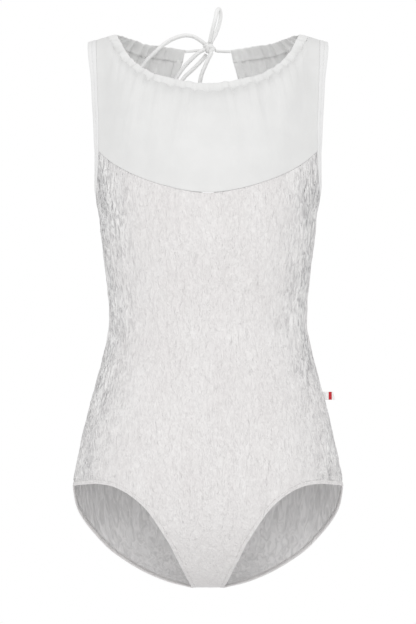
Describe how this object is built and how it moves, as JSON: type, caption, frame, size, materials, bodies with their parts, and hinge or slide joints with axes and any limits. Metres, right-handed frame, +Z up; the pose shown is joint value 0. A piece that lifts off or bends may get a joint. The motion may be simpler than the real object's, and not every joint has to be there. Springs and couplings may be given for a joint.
{
  "type": "velvet leotard",
  "caption": "Sleeveless velvet leotard, filled out, with a gathered smooth yoke, a drawstring neck tied in a bow at the back keyhole and high leg openings.",
  "frame": {"origin": "midway between the two neck ends of the shoulders, where the wearer's shoulders hold the leotard up", "axes": "+Z up along the body, -Y is the front of the garment, +X is the wearer's left"},
  "size_m": [0.3242, 0.2363, 0.7064],
  "materials": {
    "velvet": "crushed stretch velvet, off-white, with streaky nap",
    "yoke_jersey": "smooth matt stretch jersey, off-white",
    "trim_jersey": "smooth matt stretch jersey, white",
    "drawstring": "soft round fabric cord, off-white",
    "tape": "woven tape, white"
  },
  "bodies": {
    "root": {"front_body": "velvet", "back_body": "velvet", "leg_hem_left": "velvet", "leg_hem_right": "velvet", "front_yoke": "yoke_jersey", "back_yoke_left": "yoke_jersey", "back_yoke_right": "yoke_jersey", "neck_casing_front": "trim_jersey", "neck_casing_left": "trim_jersey", "neck_casing_right": "trim_jersey", "arm_binding_left": "trim_jersey", "arm_binding_right": "trim_jersey", "drawstring_left": "drawstring", "drawstring_right": "drawstring", "bow_knot": "drawstring", "bow_loop_up": "drawstring", "bow_loop_side": "drawstring", "bow_tail_left": "drawstring", "bow_tail_right": "drawstring", "side_tab": "tape"}
  },
  "joints": []
}
